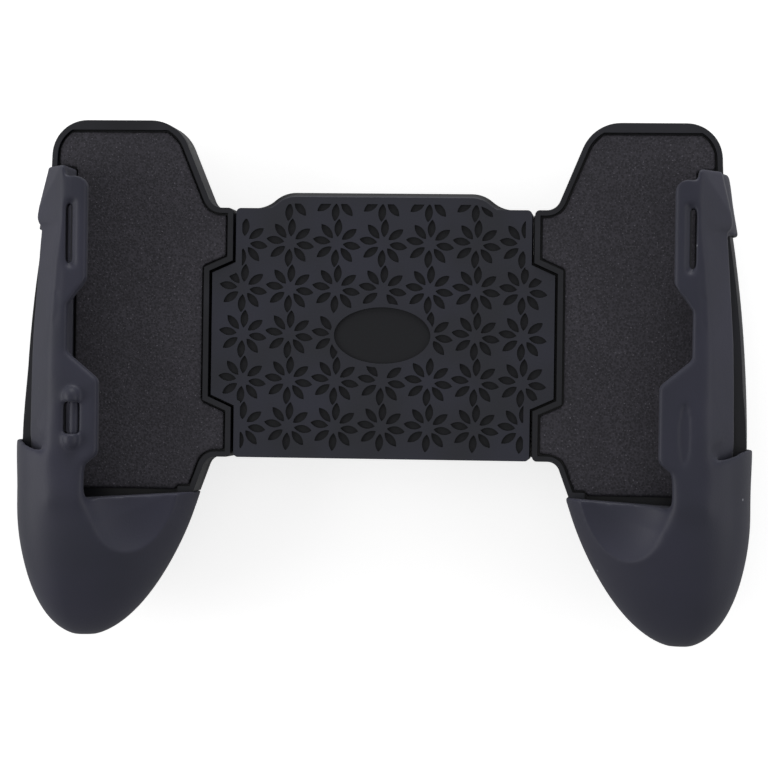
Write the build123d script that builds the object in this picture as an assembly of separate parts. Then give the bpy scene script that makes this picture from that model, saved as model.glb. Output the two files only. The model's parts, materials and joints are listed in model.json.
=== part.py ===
"""A stretching game grip for a phone: a sprung centre housing between two side handles.

The object lies on its back. +X is its length, +Y points to the top edge of the held phone,
and +Z leaves the face that the phone rests on. Heights in the outlines are first taken from the
centre of the oval recess, and place() moves each finished piece into the frame of the whole.
"""

from build123d import *
import math
import os

# Travel and play
travel = 18.0
seam = 0.6
stop_play = 0.15
slide_play = 0.1
cut_over = 2.0

# Heights above the surface that the object lies on
pad_face_z = 20.0
rim_proud = 0.4
centre_back_z = 8.0
wing_back_z = 9.0
split_z = 13.4
horn_depth = 33.0
centre_wall = 2.0
wing_wall = 2.0

# Centre housing outline
crown_half = 18.4
crown_y = 29.7
shoulder_half = 27.2
shoulder_y = 26.4
neck_half = 31.0
belly_step = 4.9
belly_y = 12.8
neck_y = 15.0
base_y = -25.8
centre_corner = 1.0
skin_t = 1.2
brow_bevel = 0.9

# Rosettes pressed into the skin
rosette_columns = 7
rosette_rows = 6
rosette_rows_below = 2
rosette_pitch_x = 9.77
rosette_pitch_y = 9.6
petal_turns = (5.5, 5.5, 9.8, 9.8)
petal_count = 8
petal_length = 3.8
petal_width = 1.65
petal_start = 1.3
petal_depth = 0.5
petal_margin = 1.3
petal_top_margin = 2.3
kept_petal_share = 0.55
oval_half_x = 10.1
oval_half_y = 5.9
oval_rim = 0.8

# Side wings
wing_top_y = 44.6
wing_crown_in_x = 43.5
wing_crown_radius = 8.5
wing_ear_x = 69.9
wing_ear_radius = 7.5
wing_hip_step = 5.0
wing_hip_radius = 3.0
wing_foot_step = 5.6
wing_foot_radius = 2.6
flank_x = 76.0
flank_y = -21.4
flank_radius = 274.0
rim_width = 1.1
rim_top_width = 2.0
pad_gap = 0.4
pad_t = 1.5
edge_round = 0.8

# Horn and swollen back of each wing, at the rigid shell's surface
horn_x = 55.49
horn_y = -19.15
horn_half_width = 19.2
horn_half_length = 43.8
horn_lean_share = 0.1585
horn_crest_drop = 0.6
horn_skew_share = 0.3
swell_half_width = 11.5
swell_top_y = 41.5
swell_round = 6.0
swell_start_y = -27.0
swell_full_y = -2.0
horn_join_y = -34.0
round_share = 0.5523
square_share = 0.66
sleeve_t = 1.1
shell_wall = 2.0
ground_cut = 0.4
tip_angle = 6
horn_angles = (14, 24, 36, 50, 64)
swell_angles = (25, 45, 62, 76, 84)
swell_sections = 10

# Phone bay, upright and lips
bay_wall_x = 65.2
ledge_in_x = 39.3
ledge_in_y = -33.2
ledge_out_y = -34.9
lip_t = 3.4
lip_top_y = 32.8
lip_gap_top_y = 8.6
lip_gap_low_y = -4.4
upper_lip_x = 60.4
gap_lip_x = 64.2
tab_lip_x = 57.6
tab_top_y = -9.9
tab_low_y = -25.4
foot_lip_x = 60.4
foot_lip_y = -27.6
lip_root_x = 68.4
lip_corner = 1.5
upright_out_x = 73.0
upright_ref_y = -20.0
upright_lean_share = 0.056
upright_top_y = 34.3
upright_bevel_run = 5.3
upright_bevel_rise = 7.2
upright_round = 2.2
cap_low_y = 21.5
sleeve_edge_out_y = -22.7
core_tip = 1.0
fade_start_y = -21.0
fade_length = 27.0
fade_run = 5.5
fade_drop = 8.0
foot_length = 12.0
foot_drop = 6.0

# Slots in the lips
lip_slot_low_y = 14.1
lip_slot_top_y = 26.3
lip_slot_width = 0.95
lip_slot_inset = 0.55
lip_slot_dish_width = 2.1
lip_slot_dish_depth = 0.7
bar_width = 2.0
bar_inset = 0.4
bar_slot_low_y = -21.2
bar_slot_top_y = -14.6
bar_slot_width = 3.2
bar_slot_margin = 0.9
boss_length = 3.5
boss_proud = 0.6
blank_half_width = 1.4
blank_half_length = 6.5
blank_y = -19.6
blank_depth = 0.4

# Thumb scoop in the horn
scoop_x = 46.6
scoop_y = -33.6
scoop_half_x = 14.2
scoop_half_y = 14.6
scoop_half_z = 8.5
scoop_proud = 1.0

# Sliding plates, their guides and springs
plate_t = 2.0
plate_half_width = 17.5
plate_in_x = 2.0
plate_out_x = 60.5
tongue_half = 5.5
fork_out_y = 12.0
fork_end_x = 31.4
guide_x = 26.0
guide_radius = 2.5
guide_side_play = 0.2
spring_radius = 2.2
spring_wire = 0.7
spring_y = 8.75
ring_radius = 2.0
post_x = 3.4
post_radius = 1.5
ring_hole_radius = 0.8
ring_bridge = 2.6

# Screws
screw_radius = 1.1
screw_pilot_radius = 1.15
screw_head_radius = 2.1
screw_head_t = 1.2
screw_sink = 1.6
screw_tip_gap = 0.5
boss_radius = 2.6
recess_radius = 0.9
recess_depth = 0.7
centre_screw_x = 25.0
centre_screw_y = 21.0
plate_screw_x = 45.0
plate_screw_y = 12.0
plate_screw_out_x = 56.0
wing_screw_top_x = 45.5
wing_screw_top_y = 36.0
wing_screw_hip_x = 41.5
wing_screw_hip_y = 23.0
horn_screw_x = 61.0
horn_screw_y = -46.0
horn_screw_z = 7.5
horn_boss_depth = 7.0

# Worked out from the sizes above
belly_half = neck_half + belly_step
wing_hip_x = neck_half + wing_hip_step
wing_foot_x = neck_half + wing_foot_step
wing_low_y = horn_y - (horn_half_length + sleeve_t) * math.cos(math.radians(tip_angle))
frame_shift = -(wing_top_y + wing_low_y) / 2
rim_z = pad_face_z + rim_proud
recess_z = pad_face_z - pad_t
skin_z = pad_face_z - skin_t
lip_top_z = horn_depth
lip_under_z = horn_depth - lip_t
horn_z = horn_depth / 2
horn_front_depth = horn_z - horn_crest_drop
scoop_z = horn_depth + scoop_proud
horn_boss_z = horn_depth - horn_boss_depth
horn_back_depth = horn_z - sleeve_t + ground_cut
swell_depth = split_z - sleeve_t + ground_cut
plate_low_z = split_z - plate_t / 2
plate_top_z = split_z + plate_t / 2
plate_screw_z = plate_low_z
wing_floor_z = wing_back_z + wing_wall
wing_roof_z = recess_z - wing_wall


def place(piece):
    """Move a finished piece from the oval's height to the frame of the whole."""
    return Pos(0, frame_shift, 0) * piece


def block(x0, y0, z0, x1, y1, z1):
    """A box between two corners."""
    size = Box(x1 - x0, y1 - y0, z1 - z0, align=(Align.MIN, Align.MIN, Align.MIN))
    return Pos(x0, y0, z0) * size


def prism(face, z0, z1):
    """A face of the XY plane raised between two heights."""
    return extrude(Pos(0, 0, z0) * face, z1 - z0, dir=(0, 0, 1))


def rod(x, y, radius, z0, z1):
    """An upright cylinder."""
    return Pos(x, y, z0) * Cylinder(radius, z1 - z0, align=(Align.CENTER, Align.CENTER, Align.MIN))


def round_at(face, x, y, radius):
    """Round the face's corner that lies nearest to a point."""
    corner = min(face.vertices(), key=lambda v: math.hypot(v.X - x, v.Y - y))
    return fillet(corner, radius)


def polygon(*points):
    """A face with straight sides."""
    return make_face(Polyline(*points, close=True))


def grown(points, amount):
    """The corners of a clockwise polygon, moved so that every side shifts out alike."""
    moved = []
    for before, corner, after in zip(points[-1:] + points[:-1], points, points[1:] + points[:1]):
        come = Vector(*corner) - Vector(*before)
        leave = Vector(*after) - Vector(*corner)
        first = Vector(-come.Y, come.X).normalized()
        second = Vector(-leave.Y, leave.X).normalized()
        mitre = (first + second) * (amount / (1 + first.dot(second)))
        moved.append((corner[0] + mitre.X, corner[1] + mitre.Y))
    return moved


def flank(y):
    """The outer edge of the rigid shell at a height."""
    return flank_x - flank_radius + math.sqrt(flank_radius**2 - (y - flank_y) ** 2)


def smooth(share):
    """A blend from 0 to 1 with level ends."""
    held = min(max(share, 0), 1)
    return held * held * (3 - 2 * held)


# Centre housing


def crown_face(grow):
    """The raised brow of the housing's top edge, with a tangent S at each end."""
    run = (shoulder_half - crown_half) / 2
    rise = (crown_y - shoulder_y) / 2
    radius = (run**2 + rise**2) / (2 * rise)
    low = (-shoulder_half, shoulder_y + grow)
    high = (-crown_half, crown_y + grow)
    reach = (radius + grow) / radius
    middle = (-crown_half - run * reach, crown_y - radius + (radius - rise) * reach)
    foot = TangentArc(low, middle, tangent=(1, 0))
    brow = TangentArc(high, middle, tangent=(-1, 0))
    left = [foot, brow]
    right = [mirror(arc, about=Plane.YZ) for arc in left]
    top = Line(high, (crown_half, crown_y + grow))
    base = Polyline(low, (-shoulder_half, 0), (shoulder_half, 0), (shoulder_half, shoulder_y + grow))
    return make_face(Curve() + left + right + [top, base])


def centre_outline(grow=0):
    """The housing's outline with sharp corners, grown or shrunk all round."""
    right = [
        (neck_half, shoulder_y),
        (neck_half, neck_y),
        (belly_half, belly_y),
        (belly_half, -belly_y),
        (neck_half, -neck_y),
        (neck_half, base_y),
    ]
    left = [(-x, y) for x, y in reversed(right)]
    return polygon(*grown(left + right, grow)) + crown_face(grow)


def centre_face(grow=0):
    """The housing's outline with its four outer corners rounded."""
    face = centre_outline(grow)
    half = neck_half + grow
    for x in (-half, half):
        face = round_at(face, x, shoulder_y + grow, centre_corner)
        face = round_at(face, x, base_y - grow, centre_corner)
    return face


def petal():
    """One petal, pointed at both ends, along +Y from the rosette's centre."""
    base = (0, petal_start)
    tip = (0, petal_start + petal_length)
    middle = petal_start + petal_length / 2
    right = ThreePointArc(base, (petal_width / 2, middle), tip)
    left = ThreePointArc(tip, (-petal_width / 2, middle), base)
    return make_face(right + left)


def pressed_face():
    """The part of the skin that takes petals: clear of its edge, its brow and the oval."""
    face = centre_face(-petal_margin) & (Pos(0, -petal_top_margin) * centre_face())
    return face - Ellipse(oval_half_x + oval_rim, oval_half_y + oval_rim)


def rosettes():
    """All petals that fit, trimmed where they cross the edge of the pressed area."""
    area = pressed_face()
    leaf = petal()
    petals = []
    for column in range(rosette_columns):
        x = (column - (rosette_columns - 1) / 2) * rosette_pitch_x
        for row in range(rosette_rows):
            y = (row - rosette_rows_below) * rosette_pitch_y
            for number in range(petal_count):
                angle = number * 360 / petal_count - petal_turns[number % len(petal_turns)]
                trimmed = (Pos(x, y) * Rot(0, 0, angle) * leaf) & area
                if trimmed and trimmed.area > kept_petal_share * leaf.area:
                    petals.extend(trimmed.faces())
    return petals


def grip_skin():
    """The soft front skin with its bevelled brow, its pressed rosettes and the bare oval."""
    brow = prism(crown_face(0), skin_z, pad_face_z)
    edges = [e for e in brow.edges().group_by(Axis.Z)[-1] if e.center().Y > shoulder_y]
    brow = chamfer(edges, brow_bevel)
    lower = block(-belly_half, base_y, skin_z, belly_half, shoulder_y, pad_face_z)
    body = (prism(centre_face(), skin_z, pad_face_z) & lower) + brow
    floor = pad_face_z - petal_depth
    dents = [prism(leaf, floor, pad_face_z + cut_over) for leaf in rosettes()]
    body = body - dents
    return body - prism(Ellipse(oval_half_x, oval_half_y), floor, pad_face_z + cut_over)


def centre_bosses(radius, z0, z1):
    """Corner posts for the housing's screws."""
    places = [(x, y) for x in (-centre_screw_x, centre_screw_x) for y in (-centre_screw_y, centre_screw_y)]
    return [rod(x, y, radius, z0, z1) for x, y in places]


def centre_passages():
    """Side openings that the sliding plates and their springs run through."""
    wide = plate_half_width + guide_side_play
    low = plate_low_z - slide_play
    high = plate_top_z + slide_play
    ring = ring_radius + spring_wire / 2 + guide_side_play
    cuts = []
    for side in (-1, 1):
        inner = side * (neck_half - centre_wall - cut_over)
        outer = side * (belly_half + cut_over)
        cuts.append(block(min(inner, outer), -wide, low, max(inner, outer), wide, high))
        for y in (-spring_y, spring_y):
            cuts.append(
                block(min(inner, outer), y - ring, split_z - ring, max(inner, outer), y + ring, split_z + ring)
            )
    return cuts


def guide_ribs(z0, z1):
    """Long ribs that the plates' tongues slide along."""
    length = neck_half - centre_wall
    middle = (fork_out_y + plate_half_width) / 2
    ribs = []
    for y in (-middle, middle):
        ribs.append(block(-length, y - centre_wall / 2, z0, length, y + centre_wall / 2, z1))
    return ribs


def centre_rear_cover():
    """The housing's back tray, with guide posts, spring posts and screw posts."""
    floor_z = centre_back_z + centre_wall
    tray = prism(centre_face(), centre_back_z, split_z)
    tray = fillet(tray.edges().group_by(Axis.Z)[0], edge_round)
    tray = tray - prism(centre_face(-centre_wall), floor_z, split_z + cut_over)
    posts = centre_bosses(boss_radius, floor_z, split_z)
    posts += guide_ribs(floor_z, plate_low_z - slide_play)
    tray = tray + posts
    for side in (-1, 1):
        tray = tray + rod(side * guide_x, 0, guide_radius, floor_z, skin_z - centre_wall)
        for y in (-spring_y, spring_y):
            tray = tray + rod(side * post_x, y, post_radius, floor_z, skin_z - centre_wall)
    tray = tray - centre_passages()
    holes = centre_bosses(screw_pilot_radius + slide_play, centre_back_z - cut_over, split_z + cut_over)
    heads = centre_bosses(screw_head_radius + slide_play, centre_back_z - cut_over, centre_back_z + screw_sink)
    return tray - holes - heads


def centre_front_cover():
    """The housing's front lid, under the skin."""
    roof_z = skin_z - centre_wall
    lid = prism(centre_face(), split_z, skin_z)
    lid = lid - prism(centre_face(-centre_wall), split_z - cut_over, roof_z)
    posts = centre_bosses(boss_radius, split_z, roof_z)
    posts += guide_ribs(plate_top_z + slide_play, roof_z)
    lid = lid + posts - centre_passages()
    return lid - centre_bosses(screw_pilot_radius, split_z - cut_over, roof_z)


def screw(x, y, head_z, length):
    """A pan-head screw that enters from the back."""
    head = rod(x, y, screw_head_radius, head_z - screw_head_t, head_z)
    head = chamfer(head.edges().group_by(Axis.Z)[0], screw_head_t / 2)
    body = head + rod(x, y, screw_radius, head_z, head_z + length)
    recess = rod(x, y, recess_radius, head_z - screw_head_t - cut_over, head_z - screw_head_t + recess_depth)
    return body - recess


def centre_screws():
    """Four screws that close the housing."""
    head_z = centre_back_z + screw_sink
    length = skin_z - centre_wall - screw_tip_gap - head_z
    places = [(x, y) for x in (-centre_screw_x, centre_screw_x) for y in (-centre_screw_y, centre_screw_y)]
    return Compound([screw(x, y, head_z, length) for x, y in places])


# Side wings, built on the +X side and mirrored for the other


def wing_face():
    """The flat plate's outline, with the housing's shape cut from its inner edge."""
    shelf_x = bay_wall_x + sleeve_t + rim_width
    buried_y = ledge_out_y - sleeve_t - rim_width
    buried_x = ledge_in_x + sleeve_t + rim_width
    face = polygon(
        (shoulder_half, base_y),
        (wing_foot_x, base_y),
        (ledge_in_x, ledge_in_y),
        (buried_x, ledge_in_y),
        (buried_x, buried_y),
        (shelf_x, buried_y),
        (shelf_x, upright_top_y - core_tip),
        (flank(upright_top_y), upright_top_y - core_tip),
        (flank(upright_top_y), upright_top_y),
        (wing_ear_x, wing_top_y),
        (wing_crown_in_x, wing_top_y),
        (wing_hip_x, shoulder_y),
        (shoulder_half, shoulder_y),
    )
    face = round_at(face, wing_ear_x, wing_top_y, wing_ear_radius)
    face = round_at(face, wing_crown_in_x, wing_top_y, wing_crown_radius)
    face = round_at(face, wing_hip_x, shoulder_y, wing_hip_radius)
    face = round_at(face, wing_foot_x, base_y, wing_foot_radius)
    face = face - centre_outline(seam)
    for y in (base_y, shoulder_y):
        face = round_at(face, neck_half + seam, y, centre_corner)
    return face


def bay_face(grow=0):
    """The floor plan of the space over the pad, bounded by the upright and the horn's ledge."""
    wall = bay_wall_x + grow
    top = wing_top_y + cut_over
    return polygon(
        (0, top),
        (flank_x + cut_over, top),
        (flank_x + cut_over, upright_top_y),
        (wall, upright_top_y),
        (wall, ledge_out_y - grow),
        (ledge_in_x, ledge_in_y - grow),
        (0, ledge_in_y - grow),
    )


def body_section(y, grow):
    """One rounded section of the horn and swollen back, square to Y."""
    length = horn_half_length + grow
    root = math.sqrt(1 - ((y - horn_y) / length) ** 2) if y < -horn_y else 0
    middle = horn_x - horn_lean_share * (y - horn_y)
    half = (horn_half_width + grow) * root
    inner = middle - half
    outer = middle + half
    deep = (horn_back_depth + grow) * root
    front = (horn_front_depth + grow) * root
    centre_z = horn_z
    share = smooth((y - swell_start_y) / (swell_full_y - swell_start_y))
    if y > horn_join_y:
        outer = flank(y) + grow
    swell_in = outer - 2 * (swell_half_width + grow)
    inner += (swell_in - inner) * share
    deep += (swell_depth + grow - deep) * share
    front += (swell_depth + grow - front) * share
    centre_z += (split_z - centre_z) * share
    round_start = swell_top_y - swell_round
    shrink = 1
    if y > round_start:
        shrink = math.sqrt(1 - ((y - round_start) / (swell_round + grow)) ** 2)
    middle = (inner + outer) / 2
    half = shrink * (outer - inner) / 2
    inner = middle - half
    outer = middle + half
    deep *= shrink
    front *= shrink
    start = horn_y - length
    corner = round_share + (square_share - round_share) * smooth((y - start) / (horn_join_y - start))
    peak = middle + half * horn_skew_share * (1 - share)
    arcs = []
    for side, apex, rise in ((outer, peak, front), (inner, peak, front), (inner, middle, -deep), (outer, middle, -deep)):
        points = [
            (side, y, centre_z),
            (side, y, centre_z + corner * rise),
            (apex + corner * (side - apex), y, centre_z + rise),
            (apex, y, centre_z + rise),
        ]
        arcs.append(Bezier(*points))
    return Wire(arcs)


def wing_body(grow=0):
    """The horn and the swollen back of a wing, as one smooth form."""
    length = horn_half_length + grow
    heights = [horn_y - length * math.cos(math.radians(a)) for a in (tip_angle, *horn_angles)]
    low = horn_join_y + cut_over
    high = swell_top_y - swell_round
    step = (high - low) / swell_sections
    heights += [low + step * n for n in range(swell_sections + 1)]
    heights += [high + (swell_round + grow) * math.sin(math.radians(a)) for a in swell_angles]
    return Solid.make_loft([body_section(y, grow) for y in heights])


def upright_section(inset, inner_x, low_z):
    """The upright's cross-section at the height where it starts to fade into the horn."""
    out = upright_out_x - inset
    top = lip_top_z - inset
    slope = math.atan2(upright_bevel_rise, upright_bevel_run)
    run = upright_bevel_run - inset * (1 - math.tan(slope / 2))
    rise = upright_bevel_rise - inset * (1 - math.tan((math.pi / 2 - slope) / 2))
    face = polygon((inner_x, low_z), (out, low_z), (out, top - rise), (out - run, top), (inner_x, top))
    face = round_at(face, out, top - rise, upright_round - inset)
    face = round_at(face, out - run, top, upright_round - inset)
    shift = -upright_lean_share * (fade_start_y - upright_ref_y)
    return (Pos(shift, fade_start_y, 0) * (Plane.XZ * face)).face()


def upright_bar(section, top_y):
    """The leaning part of the upright, from where it fades up to its top."""
    length = top_y - fade_start_y
    return Part() + Solid.extrude(section, Vector(-upright_lean_share * length, length, 0))


def upright_block(grow, top_y, low_z):
    """The bar along the outer edge that carries the lips, sinking into the horn at its foot."""
    inset = sleeve_t - grow
    section = upright_section(inset, bay_wall_x + inset, low_z)
    fade = Solid.extrude(section, Vector(-fade_run, -fade_length, -fade_drop))
    return upright_bar(section, top_y) + fade - prism(bay_face(inset), rim_z, lip_top_z + cut_over)


def lip_face():
    """The floor plan of the upper lip and the wider tab below it."""
    face = polygon(
        (lip_root_x, lip_top_y),
        (upper_lip_x, lip_top_y),
        (upper_lip_x, lip_gap_top_y),
        (gap_lip_x, lip_gap_top_y),
        (gap_lip_x, lip_gap_low_y),
        (tab_lip_x, tab_top_y),
        (tab_lip_x, tab_low_y),
        (foot_lip_x, foot_lip_y),
        (foot_lip_x, ledge_out_y),
        (lip_root_x, ledge_out_y),
    )
    corners = [v for v in face.vertices() if v.X < lip_root_x - seam and v.Y > ledge_out_y + seam]
    return fillet(corners, lip_corner)


def lips(grow):
    """The slab of the lips, at the rigid core or at the sleeve's surface."""
    inset = grow - sleeve_t
    face = offset(lip_face(), amount=inset, kind=Kind.INTERSECTION) if inset else lip_face()
    slab = prism(face, lip_under_z - inset, lip_top_z + inset)
    if not inset:
        slab = fillet(slab.edges().group_by(Axis.Z)[-1] + slab.edges().group_by(Axis.Z)[0], edge_round)
    section = upright_section(-inset, tab_lip_x - cut_over, pad_face_z)
    below = block(tab_lip_x - cut_over, ledge_out_y - cut_over, 0, lip_root_x + cut_over, fade_start_y, horn_depth)
    return (slab & upright_bar(section, lip_top_y + cut_over)) + (slab & below)


def lip_foot():
    """The lower end of the lips, sinking into the horn's front."""
    face = polygon(
        (foot_lip_x, lip_under_z),
        (lip_root_x, lip_under_z),
        (lip_root_x, lip_top_z),
        (foot_lip_x + edge_round, lip_top_z),
        (foot_lip_x, lip_top_z - edge_round),
    )
    base = (Pos(0, ledge_out_y, 0) * (Plane.XZ * face)).face()
    return Solid.extrude(base, Vector(0, -foot_length, -foot_drop))


def scoop(grow):
    """The dished hollow for the thumb at the head of the horn."""
    ball = scale(Sphere(1), by=(scoop_half_x + grow, scoop_half_y + grow, scoop_half_z + grow))
    return Pos(scoop_x, scoop_y, scoop_z) * ball


def shell_solid():
    """The rigid shell of a wing before it is parted and hollowed."""
    plate = prism(wing_face(), wing_back_z, rim_z)
    plate = fillet(plate.edges().group_by(Axis.Z)[0], edge_round)
    body = Part() + wing_body() - prism(bay_face(sleeve_t), rim_z, lip_top_z + cut_over)
    body = body - scoop(sleeve_t)
    return body + plate + upright_block(0, upright_top_y + core_tip, split_z) + lips(0)


def cavity():
    """The room inside a wing for the sliding plate and the screws."""
    roof = prism(bay_face(sleeve_t + shell_wall), wing_roof_z, lip_top_z)
    hollow = Part() + wing_body(-shell_wall) - roof - scoop(sleeve_t + shell_wall)
    flat = offset(wing_face(), amount=-wing_wall, kind=Kind.INTERSECTION)
    return hollow + prism(flat, wing_floor_z, wing_roof_z)


def wing_screw_places():
    """Places and head heights of the screws that close a wing."""
    head = wing_back_z + screw_sink
    return [
        (wing_screw_top_x, wing_screw_top_y, head, wing_roof_z),
        (wing_screw_hip_x, wing_screw_hip_y, head, wing_roof_z),
        (wing_screw_hip_x, -wing_screw_hip_y, head, wing_roof_z),
        (horn_screw_x, horn_screw_y, horn_screw_z, horn_boss_z),
    ]


def plate_screw_places():
    """Places of the screws that hold the sliding plate to the front shell."""
    return [(plate_screw_x, plate_screw_y), (plate_screw_x, -plate_screw_y), (plate_screw_out_x, 0)]


def plate_door():
    """The slot in the wing's inner wall for the sliding plate."""
    wide = plate_half_width + slide_play
    low = plate_low_z - slide_play
    high = plate_top_z + slide_play
    return block(neck_half - cut_over, -wide, low, plate_screw_x - boss_radius, wide, high)


def lip_slot():
    """The narrow slot and shallow dish at the root of the upper lip."""
    middle = (lip_slot_low_y + lip_slot_top_y) / 2
    length = lip_slot_top_y - lip_slot_low_y
    out = bay_wall_x - lip_slot_inset
    low = lip_under_z - cut_over
    slot = block(out - lip_slot_width, lip_slot_low_y, low, out, lip_slot_top_y, lip_top_z + cut_over)
    radius = lip_slot_dish_width / 2
    dish_face = RectangleRounded(2 * radius, length + 2 * radius, radius - slide_play)
    dish = prism(Pos(out - radius, middle) * dish_face, lip_top_z - lip_slot_dish_depth, lip_top_z + cut_over)
    return slot + dish


def bar_x():
    """The middle of the window and the lugs in the left tab."""
    return foot_lip_x + bar_slot_margin + bar_slot_width / 2


def bar_slot():
    """The window in the left tab that the bar crosses."""
    inner = bar_x() - bar_slot_width / 2
    outer = bar_x() + bar_slot_width / 2
    return block(inner, bar_slot_low_y, lip_under_z - cut_over, outer, bar_slot_top_y, lip_top_z + cut_over)


def bar_bosses():
    """Two rounded lugs that hold the ends of the clip bar."""
    lugs = []
    radius = bar_slot_width / 2
    z = lip_top_z + boss_proud - radius
    for y, turn in ((bar_slot_top_y, -90), (bar_slot_low_y, 90)):
        length = boss_length - radius
        lug = Cylinder(radius, length, align=(Align.CENTER, Align.CENTER, Align.MIN))
        lug = lug + Pos(0, 0, length) * Sphere(radius)
        lugs.append(Pos(bar_x(), y, z) * Rot(turn, 0, 0) * lug)
    return lugs


def clip_bar():
    """The bar across the window, its ends held in the lugs."""
    radius = bar_width / 2
    length = bar_slot_top_y - bar_slot_low_y + 2 * (boss_length - bar_slot_width / 2)
    z = lip_top_z + boss_proud - bar_slot_width / 2
    middle = (bar_slot_top_y + bar_slot_low_y) / 2
    return Pos(bar_x() - bar_inset, middle, z) * Rot(90, 0, 0) * Cylinder(radius, length)


def blank_dish():
    """The faint long dish on the right tab."""
    face = Ellipse(blank_half_width, blank_half_length)
    return prism(Pos(bar_x(), blank_y) * face, lip_top_z - blank_depth, lip_top_z + cut_over)


def sleeve_solid(core):
    """The silicone skin over the horn, the upright, the lips and the cap, less the rigid core."""
    body = Part() + wing_body(sleeve_t)
    reach = flank_x + travel
    below = prism(
        polygon(
            (ledge_in_x - reach, ledge_in_y - (sleeve_edge_out_y - ledge_in_y) * reach / (flank_x - ledge_in_x)),
            (flank_x, sleeve_edge_out_y),
            (flank_x + reach, sleeve_edge_out_y),
            (flank_x + reach, sleeve_edge_out_y - reach),
            (ledge_in_x - reach, sleeve_edge_out_y - reach),
        ),
        -cut_over,
        horn_depth + cut_over,
    )
    cap = block(neck_half, cap_low_y, -cut_over, flank_x + reach, upright_top_y, horn_depth)
    skin = (body & below) + (body & cap)
    skin = skin - prism(bay_face(), pad_face_z - cut_over, lip_top_z + cut_over)
    skin = skin + upright_block(sleeve_t, upright_top_y, pad_face_z - cut_over) + lips(sleeve_t) + lip_foot()
    return skin - scoop(0) - core


def slab(z0, z1):
    """All of the space between two heights."""
    reach = flank_x + travel
    return block(-reach, -reach, z0, reach, reach, z1)


def recess_face():
    """The floor plan of the sunk bed that the foam pad lies in."""
    face = offset(wing_face(), amount=-rim_width, kind=Kind.INTERSECTION) & bay_face()
    top = wing_top_y - rim_top_width
    return face & polygon((0, ledge_out_y), (flank_x, ledge_out_y), (flank_x, top), (0, top))


def foam_pad():
    """The foam pad, glued into its bed."""
    face = offset(recess_face(), amount=-pad_gap, kind=Kind.INTERSECTION)
    low = ledge_in_y + pad_gap
    face = face & polygon((0, low), (flank_x, low), (flank_x, wing_top_y), (0, wing_top_y))
    return prism(face, recess_z, pad_face_z)


def front_shell(core, hollow):
    """The front half of a wing: pad bed, upright, lips and the front of the horn."""
    shell = (core & slab(split_z, horn_depth)) - hollow
    posts = [rod(x, y, boss_radius, split_z, top + wing_wall) for x, y, _, top in wing_screw_places()]
    posts += [rod(x, y, boss_radius, plate_top_z, wing_roof_z + cut_over) for x, y in plate_screw_places()]
    for post in posts:
        shell = shell + (post & core)
    shell = shell - [rod(x, y, screw_pilot_radius, split_z, top) for x, y, _, top in wing_screw_places()]
    shell = shell - [rod(x, y, screw_pilot_radius, split_z, wing_roof_z) for x, y in plate_screw_places()]
    return shell - prism(recess_face(), recess_z, rim_z + cut_over) - plate_door() - lip_slot()


def rear_shell(core, hollow):
    """The back half of a wing, with its screw posts."""
    shell = (core & slab(0, split_z)) - hollow
    for x, y, _, _ in wing_screw_places():
        shell = shell + (rod(x, y, boss_radius, 0, split_z) & core)
    for x, y, head_z, _ in wing_screw_places():
        shell = shell - rod(x, y, screw_pilot_radius + slide_play, -cut_over, split_z + cut_over)
        shell = shell - rod(x, y, screw_head_radius + slide_play, -cut_over, head_z)
    return shell - plate_door()


def wing_screws():
    """The screws that close a wing."""
    places = wing_screw_places()
    return Compound([screw(x, y, head, top - screw_tip_gap - head) for x, y, head, top in places])


def ring_hole_x():
    """Where the spring's outer ring passes through the sliding plate."""
    return fork_end_x + ring_bridge + ring_hole_radius


def slide_plate():
    """The forked plate that carries a wing in and out of the housing."""
    plate = block(plate_in_x, -plate_half_width, plate_low_z, plate_out_x, plate_half_width, plate_top_z)
    for side in (-1, 1):
        y0, y1 = sorted((side * tongue_half, side * fork_out_y))
        plate = plate - block(plate_in_x - cut_over, y0, 0, fork_end_x, y1, horn_depth)
        plate = plate - rod(ring_hole_x(), side * spring_y, ring_hole_radius, 0, horn_depth)
    plate = fillet(plate.edges().filter_by(Axis.Z).sort_by(Axis.X)[-2:], boss_radius)
    radius = guide_radius + guide_side_play
    inner = guide_x - travel - stop_play + guide_side_play
    outer = guide_x + stop_play - guide_side_play
    plate = plate - block(inner, -radius, 0, outer, radius, horn_depth)
    plate = plate - [rod(x, 0, radius, 0, horn_depth) for x in (inner, outer)]
    return plate - [rod(x, y, screw_pilot_radius + slide_play, 0, horn_depth) for x, y in plate_screw_places()]


def plate_screws():
    """The screws that fix the sliding plate to the front shell."""
    length = wing_roof_z - screw_tip_gap - plate_screw_z
    return Compound([screw(x, y, plate_screw_z, length) for x, y in plate_screw_places()])


def spring(side):
    """An extension spring between a post of the housing and the sliding plate."""
    ring = Torus(ring_radius, spring_wire / 2)
    start = post_x + ring_radius
    end = ring_hole_x() - 2 * ring_radius
    coil = Cylinder(spring_radius, end - start) - Cylinder(spring_radius - spring_wire, end - start - 2 * spring_wire)
    coil = Pos((start + end) / 2, 0, 0) * Rot(0, 90, 0) * coil
    inner = Pos(post_x, 0, 0) * ring
    outer = Pos(ring_hole_x() - ring_radius, 0, 0) * Rot(90, 0, 0) * ring
    return Pos(0, side * spring_y, split_z) * (coil + inner + outer)


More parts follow.
